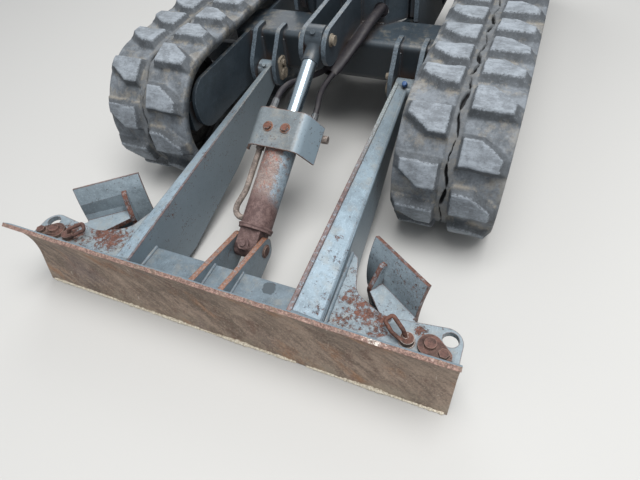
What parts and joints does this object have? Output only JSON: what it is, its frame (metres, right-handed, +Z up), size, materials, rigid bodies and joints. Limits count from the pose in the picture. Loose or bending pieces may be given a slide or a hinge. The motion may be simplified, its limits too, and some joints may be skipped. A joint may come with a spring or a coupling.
{
  "type": "tracked undercarriage with dozer blade of a mini excavator",
  "caption": "Variable-gauge rubber-track undercarriage with slew ring and a cylinder-lifted dozer blade with fold-out wings.",
  "frame": {"origin": "on the ground under the middle of the footprint", "axes": "+X to the machine's left, +Y to its rear, +Z up; the blade is at -Y"},
  "size_m": [0.99, 1.947, 0.457],
  "materials": {
    "worn_paint": "blue-grey paint, worn and spotted with rust",
    "frame_paint": "darker blue-grey paint, dusty",
    "rusted_steel": "bare steel rubbed brown-grey with rust",
    "rusty_barrel": "blue-grey paint mostly lost to rust",
    "pin_steel": "brown rust",
    "pipe_steel": "dull zinc with rust",
    "chrome": "hard chrome",
    "ring_steel": "machined and greased steel",
    "track_rubber": "worn grey rubber with dust",
    "cast_iron": "dusty cast iron",
    "bare_beam": "paint worn bright where it slides",
    "hose_rubber": "black hose cover"
  },
  "bodies": {
    "frame": {"centre_frame": "frame_paint", "front_guide_box": "frame_paint", "rear_guide_box": "frame_paint", "arm_lugs_left": "frame_paint", "arm_lugs_right": "frame_paint", "lift_lugs": "frame_paint", "arm_pin_left": "pin_steel", "arm_pin_right": "pin_steel", "lift_pin_upper": "pin_steel", "slew_ring_inner": "ring_steel", "swivel_joint": "ring_steel", "lift_hose_left": "hose_rubber", "lift_hose_right": "hose_rubber"},
    "slew_ring": {"slew_ring_outer": "ring_steel"},
    "blade": {"moldboard": "rusted_steel", "cutting_edge": "rusted_steel", "back_box": "worn_paint", "lift_bracket": "worn_paint", "lift_pin_lower": "pin_steel", "arm_left": "worn_paint", "arm_right": "worn_paint", "blade_lug_left": "worn_paint", "blade_lug_right": "worn_paint", "wing_pin_left": "pin_steel", "wing_pin_right": "pin_steel", "lock_pin_left": "pin_steel", "lock_pin_right": "pin_steel"},
    "cylinder_barrel": {"lift_barrel": "rusty_barrel", "head_guard": "worn_paint", "lift_pipe": "pipe_steel", "hose_fittings": "pipe_steel"},
    "cylinder_rod": {"lift_rod": "chrome", "rod_eye": "frame_paint"},
    "wing_left": {"wing_left": "worn_paint"},
    "wing_right": {"wing_right": "worn_paint"},
    "crawler_left": {"rubber_track_left": "track_rubber", "idler_left": "cast_iron", "idler_yoke_left": "frame_paint", "side_frame_left": "frame_paint", "track_rollers_left": "cast_iron", "sprocket_left": "cast_iron", "travel_motor_left": "frame_paint", "slide_beams_left": "bare_beam", "gauge_rod": "chrome"},
    "crawler_right": {"rubber_track_right": "track_rubber", "idler_right": "cast_iron", "idler_yoke_right": "frame_paint", "side_frame_right": "frame_paint", "track_rollers_right": "cast_iron", "sprocket_right": "cast_iron", "travel_motor_right": "frame_paint", "slide_beams_right": "bare_beam", "gauge_barrel": "frame_paint"}
  },
  "joints": [
    {"name": "blade_lift", "type": "hinge", "parent": "frame", "child": "blade", "pos_m": [0, -0.2365, 0.21], "axis": [-1, 0, 0], "range_deg": [-17, 23], "deforming": ["lift_hose_left", "lift_hose_right"]},
    {"name": "cylinder_swing", "type": "hinge", "parent": "blade", "child": "cylinder_barrel", "pos_m": [0, -0.7835, 0.106], "axis": [-1, 0, 0], "range_deg": [-0.3, 0.4]},
    {"name": "rod_stroke", "type": "slide", "parent": "cylinder_barrel", "child": "cylinder_rod", "axis": [0, 0.8685, 0.4957], "range_m": [-0.072, 0.054]},
    {"name": "crawler_left_slide", "type": "slide", "parent": "frame", "child": "crawler_left", "axis": [1, 0, 0], "range_m": [0, 0.155]},
    {"name": "crawler_right_slide", "type": "slide", "parent": "frame", "child": "crawler_right", "axis": [-1, 0, 0], "range_m": [0, 0.155]},
    {"name": "wing_left_fold", "type": "hinge", "parent": "blade", "child": "wing_left", "pos_m": [0.437, -0.9115, 0.14], "axis": [0, 0, -1], "range_deg": [0, 145.8]},
    {"name": "wing_right_fold", "type": "hinge", "parent": "blade", "child": "wing_right", "pos_m": [-0.437, -0.9115, 0.14], "axis": [0, 0, 1], "range_deg": [0, 140.2]},
    {"name": "slew", "type": "hinge", "parent": "frame", "child": "slew_ring", "pos_m": [0, 0.1835, 0.417], "axis": [0, 0, 1], "continuous": true}
  ],
  "couplings": [
    {"joint": "cylinder_swing", "follows": "blade_lift", "ratio": 0.0147},
    {"joint": "rod_stroke", "follows": "blade_lift", "m_per_rad": -0.177}
  ]
}
